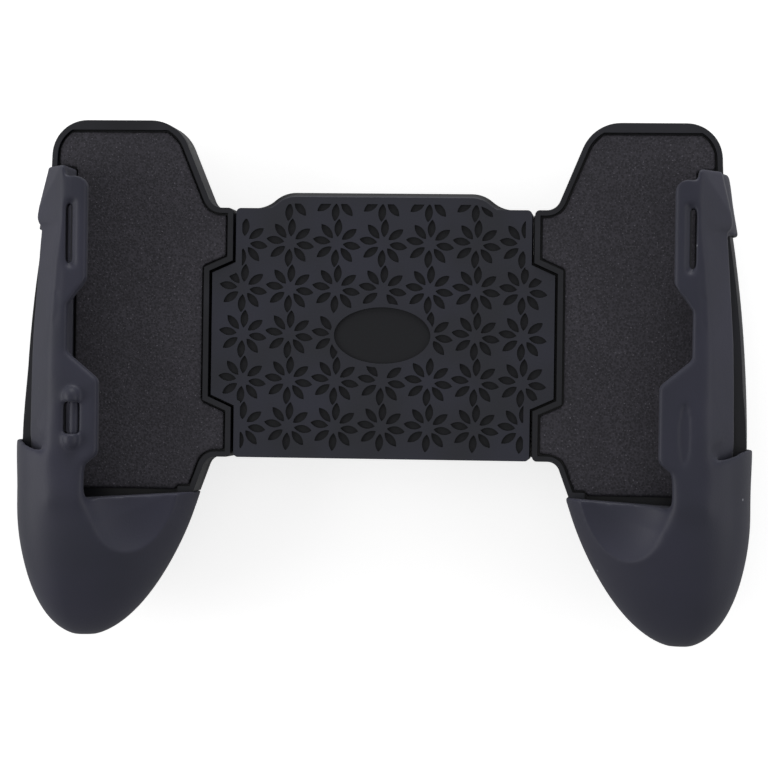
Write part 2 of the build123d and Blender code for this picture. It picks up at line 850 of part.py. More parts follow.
def build():
    """All pieces by name, in the frame of the whole."""
    pieces = {
        "centre_grip_skin": grip_skin(),
        "centre_front_cover": centre_front_cover(),
        "centre_rear_cover": centre_rear_cover(),
        "centre_screws": centre_screws(),
    }
    core = shell_solid()
    hollow = cavity()
    sleeve = sleeve_solid(core) & slab(0, horn_depth)
    sleeve = sleeve - lip_slot()
    front = front_shell(core, hollow)
    shared = {
        "rear_shell": rear_shell(core, hollow),
        "foam_pad": foam_pad(),
        "slide_plate": slide_plate(),
        "slide_screws": plate_screws(),
        "shell_screws": wing_screws(),
        "spring_upper": spring(1),
        "spring_lower": spring(-1),
    }
    right = dict(shared, front_shell=front, grip_sleeve=sleeve - blank_dish())
    bar = clip_bar()
    lugs = [lug - core for lug in bar_bosses()]
    tab_sleeve = sleeve + lugs - bar_slot() - bar
    left = dict(shared, front_shell=front - bar_slot() - bar, grip_sleeve=tab_sleeve, clip_bar=bar)
    for name, piece in right.items():
        pieces["right_" + name] = piece
    for name, piece in left.items():
        pieces["left_" + name] = mirror(piece, about=Plane.YZ)
    return {name: place(piece) for name, piece in pieces.items()}


def main():
    """Writes every piece to its own file."""
    os.makedirs("parts", exist_ok=True)
    for name, piece in build().items():
        export_step(piece, os.path.join("parts", name + ".step"))


main()
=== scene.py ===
"""Stretching phone game grip: finishes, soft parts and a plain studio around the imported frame.

Sizes in the classes are in millimetres, and MM turns them into the frame's metres.
"""

import json
import logging
import math
from dataclasses import dataclass
from enum import Enum
from typing import Any

import bmesh
import bpy
from mathutils import Matrix, Vector

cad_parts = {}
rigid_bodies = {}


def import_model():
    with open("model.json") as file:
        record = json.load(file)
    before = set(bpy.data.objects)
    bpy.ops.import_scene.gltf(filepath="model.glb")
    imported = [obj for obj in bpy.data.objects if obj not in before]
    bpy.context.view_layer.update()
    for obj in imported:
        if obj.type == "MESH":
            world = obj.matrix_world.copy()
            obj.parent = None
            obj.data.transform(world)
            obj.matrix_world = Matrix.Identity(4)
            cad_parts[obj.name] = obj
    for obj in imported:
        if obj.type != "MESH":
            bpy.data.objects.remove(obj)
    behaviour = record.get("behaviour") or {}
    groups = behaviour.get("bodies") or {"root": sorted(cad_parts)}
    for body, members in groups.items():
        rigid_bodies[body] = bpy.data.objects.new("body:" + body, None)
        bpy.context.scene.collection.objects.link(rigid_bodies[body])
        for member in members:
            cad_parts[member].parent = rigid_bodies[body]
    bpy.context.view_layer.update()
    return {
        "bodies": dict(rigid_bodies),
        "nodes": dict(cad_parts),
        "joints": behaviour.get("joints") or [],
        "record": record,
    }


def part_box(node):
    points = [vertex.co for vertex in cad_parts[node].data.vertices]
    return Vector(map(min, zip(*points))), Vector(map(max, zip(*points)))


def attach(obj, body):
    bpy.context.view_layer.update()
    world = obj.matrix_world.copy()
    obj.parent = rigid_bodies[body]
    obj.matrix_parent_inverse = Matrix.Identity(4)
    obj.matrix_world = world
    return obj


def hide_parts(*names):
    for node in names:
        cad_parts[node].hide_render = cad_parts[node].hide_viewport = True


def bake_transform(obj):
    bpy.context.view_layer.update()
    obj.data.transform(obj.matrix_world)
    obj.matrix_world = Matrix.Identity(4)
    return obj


Tree = bpy.types.NodeTree
Socket = bpy.types.NodeSocket
Piece = bpy.types.Object
WorkMesh = bmesh.types.BMesh
Rings = list[list[Vector]]
Frame = dict[str, Any]
Pair = tuple[float, float]
Place = tuple[float, float, float]
Outline = tuple[Pair, ...]

LOG = logging.getLogger("grip")
MM = 0.001
WELD_GAP = 0.002
SMOOTH_FACTOR = 0.5
EDGE_BREAK = 0.22
EDGE_STEPS = 2
SHARP_ANGLE = 32.0
SOFT_DETAIL = 2.0
FINE_DETAIL = 3.0
FULL_RANGE = (0.0, 1.0)
# A colour mix goes by the numbers of its sockets, since its other kinds have sockets of the same names.
MIX_INPUTS = (0, 6, 7)
MIX_RESULT = 2


class Side(Enum):
    """The two handles, named as the grip is held with the phone's screen to the user."""

    LEFT = "left"
    RIGHT = "right"

    @property
    def sign(self) -> float:
        """The direction along X in which this side lies."""
        return -1.0 if self is Side.LEFT else 1.0

    @property
    def body(self) -> str:
        """The CAD body of this side's handle."""
        return f"{self.value}_wing"

    def node(self, name: str) -> str:
        """The CAD node of this side with the given plain name."""
        return f"{self.value}_{name}"


def linear(colour: str) -> tuple[float, float, float, float]:
    """Turns an sRGB hex colour into linear light.

    Args:
        colour: a colour such as "#2d2e33".

    Returns:
        Red, green, blue and an alpha of one.
    """
    shares = [int(colour[i : i + 2], 16) / 255 for i in (1, 3, 5)]
    light = [s / 12.92 if s <= 0.04045 else ((s + 0.055) / 1.055) ** 2.4 for s in shares]
    return (light[0], light[1], light[2], 1.0)


def per_metre(size: float) -> float:
    """The texture scale whose features measure the given millimetres."""
    return 1 / (size * MM)


def feed(tree: Tree, target: Socket, value: Any) -> None:
    """Links a socket to an input, or sets the input to a plain value.

    Args:
        tree: the node tree.
        target: the input.
        value: an output socket, a number or a colour.
    """
    if isinstance(value, Socket):
        tree.links.new(value, target)
    else:
        target.default_value = value


def add_node(tree: Tree, kind: str, inputs: dict[Any, Any], **settings: Any) -> Any:
    """Adds one shader node with its settings, values and links.

    Args:
        tree: the material's or the world's node tree.
        kind: the node's type without its ShaderNode prefix.
        inputs: for each input's name or number, a value or the output socket to link.
        settings: attributes of the node.

    Returns:
        The new node.
    """
    node = tree.nodes.new("ShaderNode" + kind)
    for name, value in settings.items():
        setattr(node, name, value)
    for name, value in inputs.items():
        feed(tree, node.inputs[name], value)
    return node


def cleared(holder: Any) -> Tree:
    """Empties the node tree of a material or a world and gives it back."""
    holder.use_nodes = True
    holder.node_tree.nodes.clear()
    return holder.node_tree


@dataclass
class Coat:
    """A material being painted: its node tree, its Principled shader and the point on the object."""

    tree: Tree
    shader: Any
    place: Socket

    def give(self, name: str, value: Any) -> None:
        """Sets or links the shader's input of the given name."""
        feed(self.tree, self.shader.inputs[name], value)

    def noise(self, size: float, detail: float = SOFT_DETAIL) -> Socket:
        """A cloudy pattern with features of the given millimetres and so many finer layers."""
        inputs = {"Vector": self.place, "Scale": per_metre(size), "Detail": detail}
        return add_node(self.tree, "TexNoise", inputs).outputs["Fac"]

    def cells(self, size: float) -> Socket:
        """The distance from the middle of each cell, in a pattern of cells of the given millimetres."""
        inputs = {"Vector": self.place, "Scale": per_metre(size)}
        return add_node(self.tree, "TexVoronoi", inputs).outputs["Distance"]

    def between(self, value: Socket, ends: Pair, results: Pair = FULL_RANGE) -> Socket:
        """Maps a value from the range between two ends to that between two results, and clamps it."""
        limits = dict(zip(("From Min", "From Max", "To Min", "To Max"), (*ends, *results)))
        return add_node(self.tree, "MapRange", {"Value": value, **limits}).outputs["Result"]

    def mixed(self, share: Socket, first: Any, second: Any) -> Socket:
        """Mixes two colours.

        Args:
            share: how much of the second colour shows, from 0 to 1.
            first: a hex colour or a colour socket.
            second: a hex colour or a colour socket.

        Returns:
            The mixed colour.
        """
        pair = [linear(colour) if isinstance(colour, str) else colour for colour in (first, second)]
        inputs = dict(zip(MIX_INPUTS, (share, *pair)))
        return add_node(self.tree, "Mix", inputs, data_type="RGBA").outputs[MIX_RESULT]

    def bump(self, height: Socket, depth: float, share: float) -> None:
        """Gives the surface a relief of a depth in millimetres, which shows in part."""
        inputs = {"Height": height, "Distance": depth * MM, "Strength": share}
        self.give("Normal", add_node(self.tree, "Bump", inputs).outputs["Normal"])


@dataclass(frozen=True)
class Finish:
    """What every finish of the grip shares: one material, made once and named for what it is."""

    name: str = "finish"
    roughness: float = 0.5
    ior: float = 1.5
    metallic: float = 0.0

    def material(self) -> bpy.types.Material:
        """Makes this finish's material on its first use, and gives the same one after that."""
        found = bpy.data.materials.get(self.name)
        if found is None:
            found = bpy.data.materials.new(self.name)
            tree = cleared(found)
            inputs = {"Roughness": self.roughness, "IOR": self.ior, "Metallic": self.metallic}
            shader = add_node(tree, "BsdfPrincipled", inputs)
            add_node(tree, "OutputMaterial", {"Surface": shader.outputs["BSDF"]})
            self.paint(Coat(tree, shader, add_node(tree, "TexCoord", {}).outputs["Object"]))
            LOG.info("finish %s", self.name)
        return found

    def paint(self, coat: Coat) -> None:
        """Adds the colour and surface of the finish.

        Args:
            coat: the material.
        """
        raise NotImplementedError


@dataclass(frozen=True)
class MouldedSilicone(Finish):
    """Silicone rubber moulded in a spark-eroded tool: dull, slightly blue, and it holds lint."""

    name: str = "moulded silicone rubber"
    roughness: float = 0.56
    ior: float = 1.41
    colour: str = "#2e2e3d"
    dark_colour: str = "#292a37"
    lint_colour: str = "#8d8f96"
    cloud_size: float = 22.0
    cloud_range: Pair = (0.35, 0.65)
    grain_size: float = 0.42
    grain_depth: float = 0.05
    grain_share: float = 0.55
    lint_pitch: float = 9.0
    lint_range: Pair = (0.035, 0.0175)
    sheen: float = 0.06
    sheen_roughness: float = 0.5

    def paint(self, coat: Coat) -> None:
        """Clouded dark rubber with a fine grain and a few specks of lint."""
        cloud = coat.between(coat.noise(self.cloud_size), self.cloud_range)
        body = coat.mixed(cloud, self.dark_colour, self.colour)
        speck = coat.between(coat.cells(self.lint_pitch), self.lint_range)
        coat.give("Base Color", coat.mixed(speck, body, self.lint_colour))
        # The real grain is about 0.1 mm, too fine for the picture, so it is drawn four times as coarse.
        coat.bump(coat.noise(self.grain_size, FINE_DETAIL), self.grain_depth, self.grain_share)
        coat.give("Sheen Weight", self.sheen)
        coat.give("Sheen Roughness", self.sheen_roughness)


@dataclass(frozen=True)
class PressedSkin(Finish):
    """A silicone skin with pressed petals: the pressed floors get a painted shade, darker than the face.
    """

    name: str = "pressed silicone skin"
    roughness: float = 0.58
    ior: float = 1.41
    colour: str = "#2c2d38"
    dark_colour: str = "#27282f"
    # The floor colour is a painted shade: the pressed floors are drawn darker than the face.
    floor_colour: str = "#101116"
    cloud_size: float = 16.0
    cloud_range: Pair = (0.35, 0.65)
    grain_size: float = 0.5
    grain_depth: float = 0.05
    grain_share: float = 0.5
    face_z: float = 20.0
    floor_depth: float = 0.5
    shade_shares: Pair = (0.7, 0.2)

    def paint(self, coat: Coat) -> None:
        """Clouded dark rubber with a painted shade in its low places."""
        cloud = coat.between(coat.noise(self.cloud_size), self.cloud_range)
        body = coat.mixed(cloud, self.dark_colour, self.colour)
        # Painted shade: the lower a point lies below the face, the more of the dark floor colour it
        # gets.
        height = add_node(coat.tree, "SeparateXYZ", {"Vector": coat.place}).outputs["Z"]
        top = self.face_z * MM
        low = top - self.floor_depth * MM
        ends = tuple(low + share * (top - low) for share in self.shade_shares)
        floor = coat.between(height, ends)
        coat.give("Base Color", coat.mixed(floor, body, self.floor_colour))
        # The real grain is about 0.1 mm, too fine for the picture, so it is drawn five times as coarse.
        coat.bump(coat.noise(self.grain_size, FINE_DETAIL), self.grain_depth, self.grain_share)


@dataclass(frozen=True)
class MouldedABS(Finish):
    """Black ABS from a lightly textured tool: satin, with a soft broken highlight."""

    name: str = "moulded black ABS"
    roughness: float = 0.4
    ior: float = 1.54
    colour: str = "#0f1017"
    worn_colour: str = "#15161f"
    worn_offsets: Pair = (-0.05, 0.08)
    cloud_size: float = 14.0
    cloud_range: Pair = (0.4, 0.7)
    grain_size: float = 0.35
    grain_depth: float = 0.02
    grain_share: float = 0.5

    def paint(self, coat: Coat) -> None:
        """Near-black plastic with slightly dulled patches and a fine tool texture."""
        cloud = coat.between(coat.noise(self.cloud_size, FINE_DETAIL), self.cloud_range)
        coat.give("Base Color", coat.mixed(cloud, self.colour, self.worn_colour))
        sleek, dull = (self.roughness + offset for offset in self.worn_offsets)
        coat.give("Roughness", coat.between(cloud, FULL_RANGE, (sleek, dull)))
        coat.bump(coat.noise(self.grain_size), self.grain_depth, self.grain_share)


@dataclass(frozen=True)
class ClosedCellFoam(Finish):
    """Split EVA foam: cut cells give a dry, warm charcoal face with fine light speckle."""

    name: str = "closed-cell EVA foam"
    roughness: float = 0.95
    ior: float = 1.45
    colour: str = "#2a292e"
    light_colour: str = "#3d3b42"
    speck_colour: str = "#716f78"
    cell_size: float = 0.5
    cell_range: Pair = (0.25, 0.75)
    cell_depth: float = 0.12
    cell_share: float = 0.8
    fine_size: float = 0.4
    cloud_size: float = 9.0
    cloud_range: Pair = (0.3, 0.7)
    cloud_shares: Pair = (0.0, 0.35)
    speck_range: Pair = (0.62, 0.74)
    speck_shares: Pair = (0.0, 0.8)

    def paint(self, coat: Coat) -> None:
        """Open cells: dark pits, lighter walls and a few bright ones."""
        # Real cells are 0.2 to 0.3 mm wide; they are drawn about twice as coarse to show.
        wall = coat.between(coat.cells(self.cell_size), self.cell_range)
        fine = coat.noise(self.fine_size, FINE_DETAIL)
        cloud = coat.between(coat.noise(self.cloud_size), self.cloud_range, self.cloud_shares)
        body = coat.mixed(wall, self.colour, self.light_colour)
        body = coat.mixed(cloud, body, self.colour)
        speck = coat.between(fine, self.speck_range, self.speck_shares)
        coat.give("Base Color", coat.mixed(speck, body, self.speck_colour))
        coat.bump(fine, self.cell_depth, self.cell_share)


@dataclass(frozen=True)
class MouldedAcetal(Finish):
    """Black acetal, moulded: slippery and a little glossier than the shells."""

    name: str = "moulded black acetal"
    roughness: float = 0.33
    ior: float = 1.48
    colour: str = "#18191c"
    rubbed_colour: str = "#26272a"
    rub_size: float = 1.2
    rub_stretch: float = 0.04
    rub_detail: float = 4.0
    rub_range: Pair = (0.5, 0.72)
    rub_depth: float = 0.01
    rub_share: float = 0.3

    def paint(self, coat: Coat) -> None:
        """Black plastic with faint rub lines along the slide."""
        inputs = {"Vector": coat.place, "Scale": (self.rub_stretch, 1.0, 1.0)}
        along = Coat(coat.tree, coat.shader, add_node(coat.tree, "Mapping", inputs).outputs["Vector"])
        rubbed = coat.between(along.noise(self.rub_size, self.rub_detail), self.rub_range)
        coat.give("Base Color", coat.mixed(rubbed, self.colour, self.rubbed_colour))
        coat.bump(rubbed, self.rub_depth, self.rub_share)


@dataclass(frozen=True)
class ZincPlatedSteel(Finish):
    """Steel with a thin zinc plating: bright grey, with a faintly frosted look."""

    name: str = "zinc-plated steel"
    roughness: float = 0.32
    metallic: float = 1.0
    colour: str = "#a9abae"
    dull_colour: str = "#8b8d91"
    frost_size: float = 0.6
    frost_range: Pair = (0.3, 0.7)
    frost_offsets: Pair = (-0.08, 0.1)

    def paint(self, coat: Coat) -> None:
        """Frosted grey metal."""
        frost = coat.noise(self.frost_size, FINE_DETAIL)
        coat.give("Base Color", coat.mixed(frost, self.dull_colour, self.colour))
        sleek, dull = (self.roughness + offset for offset in self.frost_offsets)
        coat.give("Roughness", coat.between(frost, self.frost_range, (sleek, dull)))


@dataclass(frozen=True)
class DrawnSpringWire(Finish):
    """Drawn music wire: smooth bright steel, as its drawing lines are too fine to see."""

    name: str = "drawn spring wire"
    roughness: float = 0.22
    metallic: float = 1.0
    colour: str = "#b4b5b6"
    dull_colour: str = "#8f9092"
    stain_size: float = 2.5

    def paint(self, coat: Coat) -> None:
        """Bright wire with slight oil stains."""
        coat.give("Base Color", coat.mixed(coat.noise(self.stain_size), self.dull_colour, self.colour))


SILICONE = MouldedSilicone()
ABS = MouldedABS()
FOAM = ClosedCellFoam()
ACETAL = MouldedAcetal()
ZINC = ZincPlatedSteel()
WIRE = DrawnSpringWire()


def paint_object(piece: Piece, finish: Finish) -> None:
    """Gives a piece one finish all over."""
    piece.data.materials.clear()
    piece.data.materials.append(finish.material())
    for face in piece.data.polygons:
        face.material_index = 0


def add_object(name: str, data: Any) -> Piece:
    """Links a new object, made of a mesh, curve, light or camera, to the scene."""
    piece = bpy.data.objects.new(name, data)
    bpy.context.scene.collection.objects.link(piece)
    return piece


def as_object(name: str, mesh: WorkMesh) -> Piece:
    """Turns a finished working mesh, in the frame's metres, into an object and frees it."""
    data = bpy.data.meshes.new(name)
    mesh.to_mesh(data)
    mesh.free()
    return add_object(name, data)


def final_mesh(piece: Piece) -> bpy.types.Mesh:
    """Reads what a piece looks like after its modifiers, as a new mesh."""
    bpy.context.view_layer.update()
    graph = bpy.context.evaluated_depsgraph_get()
    return bpy.data.meshes.new_from_object(piece.evaluated_get(graph))


def apply_all(piece: Piece) -> None:
    """Bakes a piece's modifiers into its mesh."""
    mesh = final_mesh(piece)
    piece.modifiers.clear()
    piece.data = mesh


def add_weld(piece: Piece) -> None:
    """Joins a piece's coinciding points with a modifier."""
    weld = piece.modifiers.new("weld", "WELD")
    weld.merge_threshold = WELD_GAP * MM


def welded_copy(piece: Piece) -> WorkMesh:
    """Copies a piece's mesh and joins its coinciding points."""
    mesh = bmesh.new()
    mesh.from_mesh(piece.data)
    bmesh.ops.remove_doubles(mesh, verts=mesh.verts, dist=WELD_GAP * MM)
    return mesh


def bridge(mesh: WorkMesh, first: list[Any], second: list[Any], smooth: bool = False) -> list[Any]:
    """Joins two closed rows of points with faces.

    Args:
        mesh: the mesh to add to.
        first: one row.
        second: the other row, with as many points.
        smooth: whether the faces are shaded as one round surface.

    Returns:
        The new faces.
    """
    faces = []
    for i, point in enumerate(first):
        j = (i + 1) % len(first)
        faces.append(mesh.faces.new((point, first[j], second[j], second[i])))
        faces[-1].smooth = smooth
    return faces


def add_bar(mesh: WorkMesh, rings: Rings) -> None:
    """Adds a closed solid that runs through outlines with the same number of corners.

    Args:
        mesh: the mesh to add to.
        rings: the outlines from one end to the other.
    """
    rows = [[mesh.verts.new(point) for point in ring] for ring in rings]
    faces = [mesh.faces.new(rows[0][::-1]), mesh.faces.new(rows[-1])]
    for first, second in zip(rows, rows[1:]):
        faces += bridge(mesh, first, second)
    bmesh.ops.recalc_face_normals(mesh, faces=faces)


def smoothed(piece: Piece, rounds: int, group: str = "") -> None:
    """Eases a piece by averaging its points with their neighbours.

    Args:
        piece: the piece to ease.
        rounds: how many times the points are averaged.
        group: the vertex group that says how much, or nothing for all points alike.
    """
    smooth = piece.modifiers.new("eased", "SMOOTH")
    smooth.vertex_group = group
    smooth.factor = SMOOTH_FACTOR
    smooth.iterations = rounds
    apply_all(piece)


def break_edges(piece: Piece, width: float = EDGE_BREAK) -> None:
    """Rounds a piece's sharp edges a little.

    Args:
        piece: the piece to ease.
        width: how much of each edge goes, in millimetres.
    """
    bevel = piece.modifiers.new("edge break", "BEVEL")
    bevel.width = width * MM
    bevel.segments = EDGE_STEPS
    bevel.limit_method = "ANGLE"
    bevel.angle_limit = math.radians(SHARP_ANGLE)
    bevel.use_clamp_overlap = True
    bevel.harden_normals = True


def dress(piece: Piece, finish: Finish, width: float = EDGE_BREAK) -> None:
    """Gives a rigid CAD node that stays in view small rounded edges and its finish.

    Args:
        piece: the node's object.
        finish: its finish.
        width: how much of each edge goes, in millimetres.
    """
    paint_object(piece, finish)
    add_weld(piece)
    break_edges(piece, width)
    LOG.info("dressed %s in %s", piece.name, finish.name)


@dataclass
class CentreHousing:
    """The sprung middle: two ABS covers and the pressed skin on the front."""

    frame: Frame
    petal_break: float = 0.1

    def build(self) -> None:
        """Dresses the housing's nodes."""
        nodes = self.frame["nodes"]
        dress(nodes["centre_front_cover"], ABS)
        dress(nodes["centre_rear_cover"], ABS)
        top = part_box("centre_grip_skin")[1].z / MM
        dress(nodes["centre_grip_skin"], PressedSkin(face_z=top), self.petal_break)


@dataclass(frozen=True)
class Easing:
    """A line along which the sleeve is eased, how far from it that acts, and how many rounds."""

    first: Place
    last: Place
    reach: float
    rounds: int


@dataclass
class Handle:
    """One side handle: ABS shells, silicone sleeve, foam pad and, on the left, the clip bar.

    Distances along X are from the middle of the grip outwards, the same on both sides.
    """

    frame: Frame
    side: Side
    skin_voxel: float = 0.36
    skin_smoothing: int = 6
    foam_voxel: float = 0.4
    foam_smoothing: int = 3
    foam_fill: float = 0.9

    # The lips, and the plane that trims the upper one.
    lip_face_z: float = 33.0
    lip_under_z: float = 29.6
    lip_top_y: float = 41.6
    lip_corner: Pair = (63.0, 38.9)
    web_corners: Outline = ((61.9, 18.4), (64.6, 18.4), (64.6, 14.6))
    plane_point: Pair = (61.25, 19.25)
    plane_normal: Pair = (0.846, 0.533)
    plane_reach: float = 3.2
    plane_sink: float = 0.5

    # The upright's strip: at each Y, the X of its outer face and of its crease.
    strip_line: tuple[Place, ...] = (
        (-18.0, 72.6, 66.6), (-11.6, 73.0, 67.1), (0.3, 72.85, 67.6), (8.7, 72.65, 67.5),
        (24.0, 71.65, 66.5), (33.0, 71.0, 65.5),
    )
    strip_rise: float = 7.2
    strip_wall: float = 1.2
    strip_sink: float = 0.2

    # The flared cap: at each Y, the X of its outer face.
    cap_line: Outline = ((31.5, 71.1), (32.0, 71.75), (33.2, 72.1), (35.0, 71.9), (43.9, 69.75))
    cap_flares: Pair = (0.4, 0.3)
    cap_foot: float = 1.0
    cap_sink: float = 2.0
    cap_crease_x: float = 65.4
    cap_inner_x: float = 65.1

    # The ledge between the upright and the shell's outer edge, which is an arc.
    band_z: float = 20.4
    band_thickness: float = 2.2
    band_sink: float = 0.05
    band_low_y: float = -13.9
    band_overrun: float = 1.0
    band_overlap: float = 0.2
    band_edge: float = 0.9
    band_steps: int = 12
    flank_x: float = 76.0
    flank_y: float = -11.8
    flank_radius: float = 274.0

    # What the shell gives up, so that its core stays inside the silicone.
    cut_reach: float = 6.0
    cut_rise: float = 5.0
    cut_inset: float = 0.3
    cut_ends: Pair = (0.5, 0.4)
    core_side: float = 0.4
    core_sink: float = 0.7

    # Black blocks in the seam beside the housing: painted shade, dark solids that stand for the shade in
    # that narrow gap.
    seam_shade_x: Pair = (31.12, 31.90)
    seam_shade_z: Pair = (10.0, 12.5)
    seam_shade_blocks: Outline = ((25.50, 35.30), (-15.50, -6.30))

    # The lugs that hold the clip bar: where each starts along Y, and which way it points.
    lug_ends: Outline = ((-5.0, 1.0), (-11.6, -1.0))
    lug_x: float = 62.9
    lug_z: float = 33.3
    lug_radius: float = 1.7
    lug_length: float = 3.1
    lug_steps: int = 6
    lug_sides: int = 24

    # The thumb scoop is pressed by a ball of unequal half axes.
    dish_middle: Place = (45.0, -27.5, 34.0)
    dish_half: Place = (14.6, 16.0, 8.6)
    dish_wall: float = 1.1
    dish_rounds: int = 3

    # The two halves of the strip's crease, then the strip's foot on the horn.
    easings: tuple[Easing, ...] = (
        Easing((67.4, -14.0, 32.6), (67.6, 10.0, 32.6), 3.4, 130),
        Easing((67.4, 14.0, 32.6), (65.5, 42.0, 32.6), 2.6, 50),
        Easing((66.0, -23.0, 31.0), (65.0, -36.0, 28.5), 9.0, 260),
        Easing((70.5, -15.0, 28.0), (67.5, -33.0, 27.0), 5.0, 120),
    )

    def build(self) -> None:
        """Makes and dresses the handle's pieces."""
        self.bay_shell()
        nodes = self.frame["nodes"]
        dress(nodes[self.side.node("rear_shell")], ABS)
        self.sleeve()
        self.pad()
        if self.side is Side.LEFT:
            dress(nodes["left_clip_bar"], SILICONE)

    def point(self, x: float, y: float, z: float) -> Vector:
        """A point of this handle, in metres."""
        return Vector((self.side.sign * x, y, z)) * MM

    def measured(self, co: Vector) -> Place:
        """A point's distance from the middle, its Y and its Z, in millimetres."""
        return co.x * self.side.sign / MM, co.y / MM, co.z / MM

    @property
    def shoulder_z(self) -> float:
        """The height at which the upright's outer face starts to lean inwards."""
        return self.lip_face_z - self.strip_rise

    def strip_at(self, y: float) -> Pair:
        """The upright's strip at a place along Y.

        Args:
            y: the place, in millimetres.

        Returns:
            The distances of its outer face and of its crease from the middle.
        """
        for (y0, out0, crease0), (y1, out1, crease1) in zip(self.strip_line, self.strip_line[1:]):
            if y <= y1:
                break
        share = min(max((y - y0) / (y1 - y0), 0.0), 1.0)
        return out0 + share * (out1 - out0), crease0 + share * (crease1 - crease0)

    def flank_at(self, y: float) -> float:
        """The outer edge of the shells at a place along Y."""
        run = math.sqrt(self.flank_radius**2 - (y - self.flank_y) ** 2)
        return self.flank_x - self.flank_radius + run

    def across(self, y: float, corners: Outline) -> list[Vector]:
        """An outline across Y at the given place, from the X and Z of its corners."""
        return [self.point(x, y, z) for x, z in corners]

    def prism(self, outline: Outline, levels: Pair) -> Rings:
        """Both ends of an upright solid, from the X and Y of its corners and its two levels."""
        return [[self.point(x, y, z) for x, y in outline] for z in levels]

    def bay_shell(self) -> None:
        """The front shell, with the dark ledge that runs along the outside of the upright."""
        node = self.side.node("front_shell")
        piece = add_object(self.side.node("bay_shell"), self.frame["nodes"][node].data.copy())
        add_weld(piece)
        self.carved(piece, self.band_cutter())
        self.carved(piece, self.dish_cutter())
        both = bmesh.new()
        both.from_mesh(piece.data)
        levels = (self.band_z - self.band_thickness, self.band_z - self.band_sink)
        add_bar(both, self.prism(self.band_outline(), levels))
        # Painted shade: black blocks fill the seam beside the housing, where the gap is dark only with
        # shade.
        inner, outer = self.seam_shade_x
        for low, high in self.seam_shade_blocks:
            corners = ((inner, low), (outer, low), (outer, high), (inner, high))
            add_bar(both, self.prism(corners, self.seam_shade_z))
        both.to_mesh(piece.data)
        both.free()
        paint_object(piece, ABS)
        break_edges(piece)
        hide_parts(node)
        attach(piece, self.side.body)
        LOG.info("shell %s", piece.name)

    def carved(self, piece: Piece, cutter: Piece) -> None:
        """Cuts one piece out of another and removes the cutter."""
        cut = piece.modifiers.new("cut", "BOOLEAN")
        cut.operation = "DIFFERENCE"
        cut.object = cutter
        apply_all(piece)
        bpy.data.objects.remove(cutter)

    def band_cutter(self) -> Piece:
        """Makes what the shell gives up outside and under the silicone strip."""
        far = self.flank_x + self.cut_reach
        top = self.lip_face_z + self.cut_rise
        inset = self.strip_wall - self.cut_inset
        starts = [y for y, _, _ in self.strip_line[1:-1]]
        low, high = self.strip_line[0][0] + self.cut_ends[0], self.cap_line[0][0] + self.cut_ends[1]
        rings = []
        for y in (low, *starts, high):
            out, crease = self.strip_at(y)
            ridge = crease - self.core_side
            rings.append(self.across(y, (
                (far, self.band_z), (out - inset, self.band_z),
                (out - inset, self.shoulder_z - self.core_side),
                (ridge, self.lip_face_z - self.core_sink), (ridge, top), (far, top),
            )))
        mesh = bmesh.new()
        add_bar(mesh, rings)
        return as_object("band_cutter", mesh)

    def band_outline(self) -> Outline:
        """The outline of the ledge between the upright and the shell's outer edge."""
        low = self.band_low_y - self.band_overrun
        length = self.cap_line[0][0] + self.band_overrun - low
        places = [low + length * i / self.band_steps for i in range(self.band_steps + 1)]
        inner = [(self.strip_at(y)[0] - self.strip_wall - self.band_overlap, y) for y in places]
        outer = [(self.flank_at(y) - self.band_edge, y) for y in places]
        return (*outer, *inner[::-1])

    def dish_cutter(self) -> Piece:
        """The thumb scoop's ball, grown by the skin's thickness."""
        mesh = bmesh.new()
        ball = bmesh.ops.create_icosphere(mesh, subdivisions=self.dish_rounds, radius=1.0)["verts"]
        middle = self.point(*self.dish_middle)
        for vert in ball:
            vert.co = middle + Vector([part * (half + self.dish_wall) * MM
                                       for part, half in zip(vert.co, self.dish_half)])
        return as_object("dish_cutter", mesh)

    def sleeve(self) -> None:
        """The silicone sleeve over horn, upright, lips and cap."""
        bars = [self.strip(), self.cap(), self.web()]
        if self.side is Side.LEFT:
            bars += [self.lug(start, way) for start, way in self.lug_ends]
        name = self.side.node("silicone_sleeve")
        piece = self.remeshed(self.side.node("grip_sleeve"), name, self.skin_voxel, bars)
        self.planed(piece)
        self.rounded_corner(piece)
        self.dished(piece)
        smoothed(piece, self.skin_smoothing)
        for line in self.easings:
            self.eased(piece, line)
        paint_object(piece, SILICONE)
        LOG.info("sleeve %s with %d faces", piece.name, len(piece.data.polygons))

    def strip(self) -> Rings:
        """The bevelled outer strip of the upright, down to the ledge beside it."""
        rings = []
        foot = self.band_z - self.strip_sink
        for y, out, crease in self.strip_line:
            inner = out - self.strip_wall
            rings.append(self.across(y, (
                (out, foot), (out, self.shoulder_z), (crease, self.lip_face_z),
                (crease, self.lip_face_z - self.strip_wall),
                (inner, self.shoulder_z - self.strip_wall / 2), (inner, foot),
            )))
        return rings

    def cap(self) -> Rings:
        """The flared end of the sleeve that wraps the top of the upright."""
        low_flare, high_flare = self.cap_flares
        foot = self.band_z - self.cap_sink
        return [self.across(y, (
            (out + low_flare, foot), (out + high_flare, self.band_z + self.cap_foot),
            (out, self.shoulder_z), (self.cap_crease_x, self.lip_face_z),
            (self.cap_inner_x, self.lip_face_z), (self.cap_inner_x, foot),
        )) for y, out in self.cap_line]

    def web(self) -> Rings:
        """The slanting lower end of the upper lip."""
        return self.prism(self.web_corners, (self.lip_under_z, self.lip_face_z))

